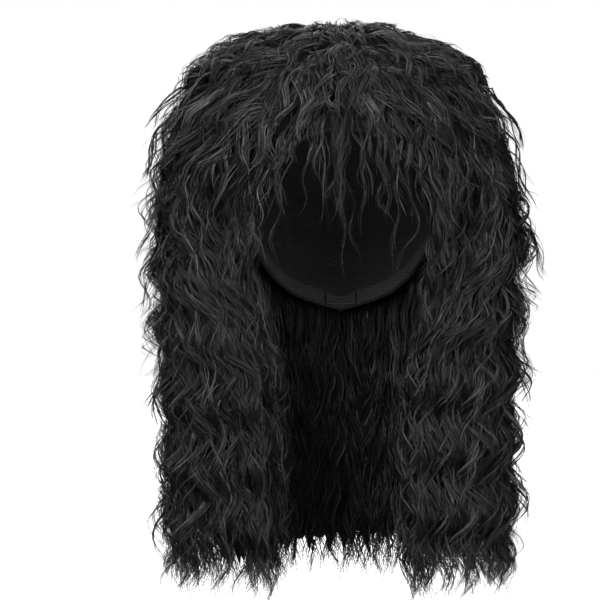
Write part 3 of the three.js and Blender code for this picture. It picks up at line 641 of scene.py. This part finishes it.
def length_hair(seed, name, node, side, around, count, inner):
    rng = np.random.default_rng(seed)
    place = hanging(side)
    ends = (HAIR_DROP * LOCKS_END, HAIR_DROP)
    dense = {**BODY, "shortest": 0.96, "tip_spread": 0.3, "taper": 8}
    full = {**FULL, "shortest": 0.96, "tip_spread": 0.2, "taper": 8}

    def locks(count, root, depth, tip=ends, across=around, **more):
        """Ranges of roots and depths. Where no tips are given, they are the hair's ends."""
        return hanging_locks(rng, count, across, root, tip, depth, **more)

    inside = {"root_depth": 0.15, "curl": (2, 4), "radius": WIDE}
    groups = [
        grow(rng, place, locks(count, (70, 120), (0.82, 0.96), radius=WIDE), dense),
        grow(rng, place, locks(count, (80, 150), (0.93, 1.02)), full),
        grow(rng, place, locks(count // 2, (80, 160), (0.98, 1.05), radius=THIN), SLIM),
        grow(rng, place, locks(inner, (110, 170), (0.16, 0.24), **inside), dense),
        grow(rng, place, locks(2 * count, (80, 240), (0.98, 1.07), (200, HAIR_DROP)), WISP),
    ]
    if node != "back_length":
        outer = (around[0] + 0.1, around[1])
        veil = locks(7, (100, 170), (1.03, 1.09), across=outer, curl=(6, 8))
        curly = locks(12, (100, 200), (1.05, 1.12), across=outer, curl=(6, 9), radius=THIN)
        groups += [grow(rng, place, veil, VEIL), grow(rng, place, curly, TIGHT)]
    if around[0] == 0:
        wall = front_wall(side)
        banded = {"across": EDGE, "bands": WALL_BANDS}
        edge = locks(14, (90, 150), (0.9, 1.02), **banded)
        under = locks(7, (80, 140), (0.75, 0.9), radius=WIDE, **banded)
        loose = locks(7, (120, 170), (0.95, 1.15), across=(0.0, 0.4), curl=(5, 8), radius=THIN)
        loops = locks(
            6, (170, 240), (0.95, 1.1), (300, HAIR_DROP), (0.0, 0.06),
            curl=(7, 12), pitch=58, radius=(0.6, 1.3),
        )
        looks = (edge, full), (under, dense), (loose, SLIM), (loops, TIGHT)
        groups += [grow(rng, wall, strip, look) for strip, look in looks]
    if node in FLYAWAYS:
        groups.append(flyaways(rng, node, side))
    bottom = HAIR_DROP * BODY_END
    body = body_of(rng, place, around, top=60, bottom=bottom, depths=(0.26, 0.8))
    hair_piece(name, groups, [node], [body])


LAYER_LOCKS = {"pitch": 43, "root_depth": 0.75}
LAYERS = [
    # name, node, side, around, full locks in its outer layer
    ("side_layer_hair_left", "side_layer_left", 1, (0.0, 0.51), 24),
    ("side_layer_hair_right", "side_layer_right", -1, (0.0, 0.51), 24),
    ("back_layer_hair", "back_layer", 1, (0.49, 1.51), 40),
]


def layer_hair(seed, name, node, side, around, count):
    rng = np.random.default_rng(seed)
    place = hanging(side)
    ragged = {**SLIM, "shortest": 0.75}

    def locks(count, root, tip, depth, across=around, **more):
        """Ranges of roots, tips and depths."""
        return hanging_locks(rng, count, across, root, tip, depth, **{**LAYER_LOCKS, **more})

    raised = {"tip_depth": (0.96, 1.05), "flick": (0, 10)}
    loosened = {"tip_depth": (0.98, 1.07), "flick": (2, 14), "radius": THIN}
    groups = [
        grow(rng, place, locks(count, (20, 60), (140, 210), (0.84, 0.96), radius=WIDE), BODY),
        grow(rng, place, locks(count, (25, 90), (140, 225), (0.92, 1.02), **raised), FULL),
        grow(rng, place, locks(count, (25, 110), (150, 230), (0.94, 1.04), **loosened), ragged),
        grow(rng, place, locks(2 * count, (40, 120), (140, 240), (0.98, 1.05)), WISP),
    ]
    if around[0] == 0:
        wall = front_wall(side)
        edge = locks(20, (10, 70), (150, 240), (0.9, 1.05), EDGE, bands=WALL_BANDS)
        under = locks(9, (10, 40), (150, 220), (0.75, 0.9), EDGE, radius=WIDE, bands=WALL_BANDS)
        loose = locks(10, (20, 90), (150, 240), (1.0, 1.1), EDGE, radius=THIN)
        looks = (edge, FULL), (under, BODY), (loose, ragged)
        groups += [grow(rng, wall, strip, look) for strip, look in looks]
        outer = (0.15, 0.45)
        veil = locks(
            7, (60, 110), (190, 240), (1.03, 1.08), outer,
            curl=(6, 8), pitch=45, flick=(2, 10), root_depth=0.5,
        )
        curly = locks(
            14, (40, 140), (150, 240), (1.03, 1.1), outer,
            curl=(5, 9), pitch=44, flick=(4, 16), radius=THIN, root_depth=0.5,
        )
        groups += [grow(rng, place, veil, VEIL), grow(rng, place, curly, ragged)]
    if node in FLYAWAYS:
        groups.append(flyaways(rng, node, side))
    body = body_of(rng, place, around, top=20, bottom=200, depths=(0.5, 0.84))
    hair_piece(name, groups, [node], [body])


# How far below the level of the head's top the teased hair reaches, from the front to the back
CROWN_REACH = {
    "angle": [0, 8, 18, 28, 45, 60, 90, 180],
    "drop": [26, 38, 60, 80, 98, 110, 112, 125],
}
CROWN_BAND = 20  # degrees round the crown that wave together
BROW_BAND = 25  # millimetres from side to side that wave together
CROWN_CRIMP = 44
BROW_CRIMP = 40
SWEEP = 35  # degrees that the locks beside the brow turn away from the face on their way down


def swept(angle):
    return angle + SWEEP * np.sin(np.radians(2 * np.clip(angle, -90, 90)))


def crown_reach(angle):
    turn = np.abs((angle + 180) % 360 - 180)
    return DOME_RUN + np.interp(turn, CROWN_REACH["angle"], CROWN_REACH["drop"])


def crown_locks(rng, count, root, span, depth, tip_depth, flick, radius,
                curl=(2.5, 5), below=0, swirl=7, root_depth=0.8):
    """Locks that fall outward from the top: root is a range of shares of the reach there.

    At the sides their tips come up to below further down.
    """
    angle = even(rng, count, -180, 180)
    reach = crown_reach(angle)
    beside = smooth(np.abs(angle), 25, 60) * below * rng.random(count)
    start = rng.uniform(*root, count) * reach
    return {
        "around": angle,
        "tip_around": swept(angle) + rng.normal(0, swirl, count),
        "root": start,
        "tip": beside + np.minimum(
            start + rng.uniform(*span, count), reach * rng.uniform(0.9, 1.02, count)
        ),
        "root_depth": np.full(count, root_depth),
        "depth": rng.uniform(*depth, count),
        "tip_depth": rng.uniform(*tip_depth, count),
        **curls(rng, angle / CROWN_BAND, curl, CROWN_CRIMP, flick, radius),
    }


def brow_locks(rng, count):
    """Locks that cover the rim above the face and end raggedly round it."""
    angle = even(rng, count, -64, 64)
    reach = crown_reach(angle)
    return {
        "around": angle,
        "tip_around": mix(angle, swept(angle), rng.uniform(-0.1, 0.5, count)),
        "root": reach - rng.uniform(50, 95, count),
        "tip": reach + rng.uniform(-16, 5, count),
        "root_depth": np.full(count, 0.86),
        "depth": rng.uniform(0.88, 0.96, count),
        "tip_depth": rng.uniform(0.84, 0.98, count),
        **curls(rng, angle / CROWN_BAND, (2, 4.5), BROW_CRIMP, (-2, 4), (3, 6)),
    }


CREST_BACK = 36  # how far behind the top of the crown its crossing locks start
CREST_HALF = 26  # half the width in which they start
CREST_ROUND = 450  # radius of the top of the crown


def crest(across, run, depth):
    """The flattest part of the crown: run is the way forward over its top."""
    y = CREST_BACK - run
    z = CROWN_LIFT * depth - (across**2 + y**2) / (2 * CREST_ROUND)
    points = np.stack([across, y, z], -1)
    normal = np.stack([across / CREST_ROUND, y / CREST_ROUND, np.ones_like(y)], -1)
    return points, unit(normal)


def crest_locks(rng, count):
    """Short locks that cross the top, so that the others don't all start from one bare point."""
    across = even(rng, count, -CREST_HALF, CREST_HALF)
    start = rng.uniform(0, 26, count)
    return {
        "around": across,
        "tip_around": across * 1.4 + rng.normal(0, 12, count),
        "root": start,
        "tip": start + rng.uniform(44, 70, count),
        "root_depth": np.full(count, 0.92),
        "depth": rng.uniform(0.95, 1.0, count),
        "tip_depth": rng.uniform(0.94, 1.0, count),
        **curls(rng, across / BROW_BAND, (1.5, 3.5), BROW_CRIMP, (-1, 2), (2.5, 5)),
    }


CROWN_LOCKS = {
    "body": {
        "count": 90, "root": (0.02, 0.78), "span": (90, 140), "depth": (0.86, 0.95),
        "tip_depth": (0.9, 1.0), "flick": (0, 8), "radius": WIDE,
    },
    "low": {
        "count": 88, "root": (0.45, 0.8), "span": (80, 120), "depth": (0.9, 1.0),
        "tip_depth": (0.93, 1.04), "flick": (0, 12), "radius": (3, 5.5), "below": 45,
    },
    "high": {
        "count": 56, "root": (0.1, 0.4), "span": (85, 140), "depth": (0.94, 1.0),
        "tip_depth": (0.96, 1.02), "flick": (0, 9), "radius": (3, 5.5),
    },
    "spikes": {
        "count": 120, "root": (0.3, 0.75), "span": (50, 110), "depth": (0.96, 1.02),
        "tip_depth": (0.98, 1.05), "flick": (4, 20), "radius": THIN, "curl": (4, 7), "below": 60,
    },
    "top": {
        "count": 44, "root": (0.0, 0.16), "span": (60, 110), "depth": (0.95, 1.0),
        "tip_depth": (0.96, 1.02), "flick": (0, 6), "radius": (3, 6), "swirl": 28,
        "root_depth": 0.95,
    },
}
CROWN_BODY_SHORT = 30  # the crown's body ends this far above the tips of its locks


def crown_hair(seed):
    rng = np.random.default_rng(seed)
    short = {"shortest": 0.72, "tip_spread": 0.4}
    full = {**FULL, **short, "strands": 13, "width": 0.8, "step": 7.0}
    fine = {**full, "step": 6.0}
    locks = {key: crown_locks(rng, **row) for key, row in CROWN_LOCKS.items()}
    groups = [
        grow(rng, crown, locks["body"], {**BODY, **short}),
        grow(rng, crown, locks["low"], full),
        grow(rng, crown, locks["high"], full),
        grow(rng, crown, locks["spikes"], {**SLIM, "shortest": 0.72, "step": 6.5}),
        grow(rng, crown, locks["top"], {**full, "loose": 0.03}),
        grow(rng, crown, brow_locks(rng, 58), fine),
        grow(rng, crest, crest_locks(rng, 14), fine),
    ]

    def under(angle, share, depth):
        return crown(angle, share * (crown_reach(angle) - CROWN_BODY_SHORT), depth)

    body = core(rng, under, (-180, 180), 0.0, 1.0, (0.66, 0.83), closed=True)
    hair_piece("crown_hair", groups, ["crown_layer"], [body])


# Loose locks that curl out of the outline: where they are round the head from the front, the
# drops at which they start and end, how far they reach beyond the outline and how wide they curl
FLYAWAYS = {
    "side_layer_right": [
        {"angle": 76, "drop": (8, 34), "reach": 14, "curl": 5},
        {"angle": 84, "drop": (28, 72), "reach": 11, "curl": 4},
        {"angle": 72, "drop": (60, 112), "reach": 8, "curl": 6},
        {"angle": 80, "drop": (74, 132), "reach": 13, "curl": 6},
        {"angle": 88, "drop": (112, 172), "reach": 14, "curl": 6},
    ],
    "side_layer_left": [
        {"angle": 78, "drop": (4, 52), "reach": 9, "curl": 4},
        {"angle": 84, "drop": (44, 92), "reach": 8, "curl": 5},
        {"angle": 74, "drop": (80, 132), "reach": 7, "curl": 7},
        {"angle": 82, "drop": (98, 146), "reach": 22, "curl": 3},
        {"angle": 90, "drop": (112, 160), "reach": 10, "curl": 7},
    ],
    "front_length_right": [
        {"angle": 70, "drop": (192, 244), "reach": 17, "curl": 4},
        {"angle": 76, "drop": (214, 256), "reach": 9, "curl": 4},
        {"angle": 72, "drop": (250, 352), "reach": 8, "curl": 8},
    ],
    "front_length_left": [
        {"angle": 70, "drop": (160, 214), "reach": 20, "curl": 5},
        {"angle": 76, "drop": (196, 244), "reach": 11, "curl": 7},
        {"angle": 72, "drop": (236, 340), "reach": 7, "curl": 8},
    ],
}


def beyond(side):
    """Outside the hair: depth is millimetres beyond the outline."""

    def place(angle, drop, depth):
        drop = np.maximum(drop, 0)
        points, normal = outline(angle, drop)
        points = points * [side, 1, 1]
        normal = normal * [side, 1, 1]
        points = in_waves(points, normal, angle * side, drop, np.ones_like(drop))
        return points + normal * (depth + CURL_ROOM)[..., None], normal

    return place


FLYAWAY_PIECES = 4  # thin locks for each row


def flyaways(rng, node, side):
    rows = [row for row in FLYAWAYS[node] for _ in range(FLYAWAY_PIECES)]
    count = len(rows)

    def column(key):
        return np.array([row[key] for row in rows], float)

    # Their curls and flicks are replaced below
    locks = curls(rng, column("angle") / 10, (0, 1), 47, (0, 1), (0.6, 1.6))
    root, tip = column("drop").T
    angle = column("angle") + rng.normal(0, 1.5, count)
    locks.update({
        "around": angle,
        "tip_around": angle,
        "root": root - rng.uniform(0, 24, count),
        "tip": tip - rng.uniform(0, 7, count),
        "root_depth": np.full(count, -9.0),
        "depth": np.full(count, -1.0),
        "tip_depth": column("reach") * 0.4,
        "flick": column("reach") * rng.uniform(0.45, 0.65, count),
        "curl": column("curl") * rng.uniform(0.7, 1.1, count),
    })
    look = {"strands": 6, "width": 0.75, "step": 4.4, "tip_spread": 0.2, "loose": 0.01}
    return grow(rng, beyond(side), locks, look)


# Locks of the fringe: where they start and end, each as a place from side to side and a drop,
# how far they bow sideways and how far the pieces of a lock spread
FRINGE = [
    {"root": (-34, 24), "tip": (-61, 110), "bow": -6, "radius": 4.2},
    {"root": (-31, 24), "tip": (-51, 106), "bow": -8, "radius": 3.6},
    {"root": (-30, 26), "tip": (-43, 104), "bow": -9, "radius": 2.6},
    {"root": (-44, 26), "tip": (-68, 128), "bow": -6, "radius": 5},
    {"root": (-58, 34), "tip": (-76, 142), "bow": -5, "radius": 6},
    {"root": (-66, 44), "tip": (-70, 150), "bow": -7, "radius": 6},
    {"root": (-22, 22), "tip": (-26, 86), "bow": 3, "radius": 2.6},
    {"root": (-10, 20), "tip": (-10, 94), "bow": -9, "radius": 2.8},
    {"root": (-8, 22), "tip": (-12, 116), "bow": 3, "radius": 2.4},
    {"root": (2, 22), "tip": (-1, 108), "bow": -4, "radius": 1.8},
    {"root": (12, 20), "tip": (20, 86), "bow": -3, "radius": 2.6},
    {"root": (18, 22), "tip": (26, 104), "bow": 4, "radius": 2.2},
    {"root": (22, 22), "tip": (43, 112), "bow": 4, "radius": 3.4},
    {"root": (34, 24), "tip": (57, 108), "bow": 5, "radius": 3.6},
    {"root": (44, 26), "tip": (67, 120), "bow": 5, "radius": 5},
    {"root": (58, 34), "tip": (76, 142), "bow": 5, "radius": 6},
    {"root": (66, 44), "tip": (70, 152), "bow": 6, "radius": 6},
]
FRINGE_WISPS = [
    {"root": (-6, 30), "tip": (-2, 150), "bow": 3},
    {"root": (4, 30), "tip": (9, 146), "bow": -5},
    {"root": (24, 34), "tip": (31, 146), "bow": 7},
    {"root": (40, 50), "tip": (26, 150), "bow": 12},
    {"root": (-36, 50), "tip": (-48, 138), "bow": -7},
    {"root": (-16, 30), "tip": (-20, 110), "bow": 5},
    {"root": (-26, 30), "tip": (-34, 98), "bow": 4},
    {"root": (8, 26), "tip": (12, 112), "bow": 6},
    {"root": (30, 30), "tip": (38, 124), "bow": -5},
]


# Lower edge of the dense hair over the brow, beside the middle of the face
ARCH = {"across": [0, 20, 40, 60, 80], "drop": [26, 36, 58, 80, 98]}


def arch_locks(rng, count):
    """Short locks along that edge."""
    across = even(rng, count, -84, 84)
    edge = np.interp(np.abs(across), ARCH["across"], ARCH["drop"])
    return {
        "around": across * 0.94,
        "tip_around": across * rng.uniform(0.98, 1.12, count) + rng.normal(0, 3, count),
        "root": edge - rng.uniform(12, 34, count),
        "tip": edge + rng.uniform(-6, 12, count),
        "bow": rng.normal(0, 3, count),
        "root_depth": np.full(count, 0.86),
        "depth": rng.uniform(0.88, 1.0, count),
        "tip_depth": rng.uniform(0.88, 1.04, count),
        **curls(rng, across / BROW_BAND, (1.5, 3), 38, (-1, 3), (1, 3)),
    }


BROW_HALF = 105  # half the width of the curve in which the fringe hangs
BROW_OUT = (94, 100)  # how far forward the fringe hangs, at its roots and lower down
FRINGE_DEPTH = 60  # how much further forward a lock at depth 1 is than one at depth 0


def brow(across, drop, depth):
    """Hair over the brow: across is a place from side to side."""
    reach = mix(*BROW_OUT, smooth(drop, 15, 60)) + (depth - 0.9) * FRINGE_DEPTH
    curve = np.sqrt(1 - np.clip(across / BROW_HALF, -0.95, 0.95) ** 2)
    y = -reach * curve
    normal = np.stack([across / BROW_HALF**2, y / reach**2, np.zeros_like(y)], -1)
    return np.stack([across, y, -drop], -1), unit(normal)


def fringe_locks(rng, rows, pieces, radius):
    """Splits each lock in thin pieces that start close together and cross on the way down."""
    rows = [row for row in rows for _ in range(pieces)]
    count = len(rows)
    root_across, root_drop = np.array([row["root"] for row in rows], float).T
    tip_across, tip_drop = np.array([row["tip"] for row in rows], float).T
    bow = np.array([row["bow"] for row in rows], float)
    spread = np.array([row.get("radius", 1) for row in rows], float)
    return {
        **curls(rng, tip_across / BROW_BAND, (1.5, 3.2), BROW_CRIMP, (-1, 4), radius),
        "sway": np.full(count, 1.0),
        "around": root_across + rng.normal(0, 1, count) * spread,
        "tip_around": tip_across + rng.normal(0, 1.1, count) * spread,
        "root": root_drop + rng.uniform(-6, 6, count),
        "tip": tip_drop - rng.uniform(-4, 26, count) * (spread > 1),
        "bow": bow * rng.uniform(0.5, 1.4, count),
        "root_depth": np.full(count, 0.86),
        "depth": rng.uniform(0.86, 0.96, count),
        "tip_depth": rng.uniform(0.86, 1.0, count),
    }


def fringe_hair(seed):
    rng = np.random.default_rng(seed)
    look = {"strands": 4, "width": 0.55, "step": 4.4, "shortest": 0.7, "tip_spread": 0.25}
    groups = [
        grow(rng, brow, fringe_locks(rng, FRINGE, 5, (0.3, 1.0)), {**look, "loose": 0.03}),
        grow(rng, brow, arch_locks(rng, 44), {**look, "strands": 9}),
        grow(rng, brow, fringe_locks(rng, FRINGE_WISPS, 1, (0.8, 1.6)), {**look, "width": 0.42}),
    ]
    hair_piece("fringe_hair", groups, ["fringe"])


# Each piece of hair has a seed of its own
for number, row in enumerate(LENGTHS):
    length_hair(11 + number, *row)
for number, row in enumerate(LAYERS):
    layer_hair(31 + number, *row)
crown_hair(51)
fringe_hair(61)


# The CAD pieces that stay
for node, material in (
    ("cap", CAP_CLOTH), ("ear_tab_left", CAP_CLOTH), ("ear_tab_right", CAP_CLOTH),
    ("edge_band", ELASTIC), ("nape_strap", ELASTIC),
):
    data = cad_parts[node].data
    data.materials.clear()
    data.materials.append(material)


# Floor, light and camera, in metres
FLOOR_GAP = 0.05  # below the lowest hair


def stage():
    height = -HAIR_DROP * MM - FLOOR_GAP
    bpy.ops.mesh.primitive_plane_add(size=12, location=(0, 0, height))
    floor = bpy.context.object
    floor.name = "floor"
    material, _, _ = new_material(
        "pale_floor", Base_Color=(0.4, 0.4, 0.4, 1), Roughness=0.9,
        Emission_Color=(0.95, 0.95, 0.95, 1), Emission_Strength=1.0,
    )
    floor.data.materials.append(material)
    floor.visible_diffuse = False
    floor.visible_glossy = False
    world = bpy.data.worlds.new("studio")
    world.use_nodes = True
    world.node_tree.nodes["Background"].inputs["Color"].default_value = (1, 1, 1, 1)
    bpy.context.scene.world = world
    world.cycles_visibility.glossy = False
    bpy.context.scene.view_settings.view_transform = "Standard"


LAMPS_AIM = (0, 0, -0.16)  # the middle of the hair


def area_light(name, place, size, power):
    light = bpy.data.lights.new(name, "AREA")
    light.size = size
    light.energy = power
    lamp = bpy.data.objects.new(name, light)
    lamp.location = place
    lamp.rotation_euler = (Vector(LAMPS_AIM) - Vector(place)).to_track_quat("-Z", "Y").to_euler()
    bpy.context.scene.collection.objects.link(lamp)


stage()
area_light("key", (-0.9, -1.5, 0.7), 1.0, 30)
area_light("fill", (1.1, -1.3, 0.3), 1.0, 16)
area_light("top", (0.1, 0.4, 1.4), 0.9, 12)
area_light("rear", (-0.6, 1.7, 0.5), 1.0, 20)

CAMERA_AWAY = 1.6
VIEW_CENTRE = (-0.032, -0.157)  # across and up, at the middle of the photo
VIEW_WIDTH = 0.45
camera_data = bpy.data.cameras.new("camera")
camera_data.lens = camera_data.sensor_width * CAMERA_AWAY / VIEW_WIDTH
camera = bpy.data.objects.new("camera", camera_data)
camera.location = (VIEW_CENTRE[0], -CAMERA_AWAY, VIEW_CENTRE[1])
camera.rotation_euler = (math.pi / 2, 0, 0)
bpy.context.scene.collection.objects.link(camera)
bpy.context.scene.camera = camera
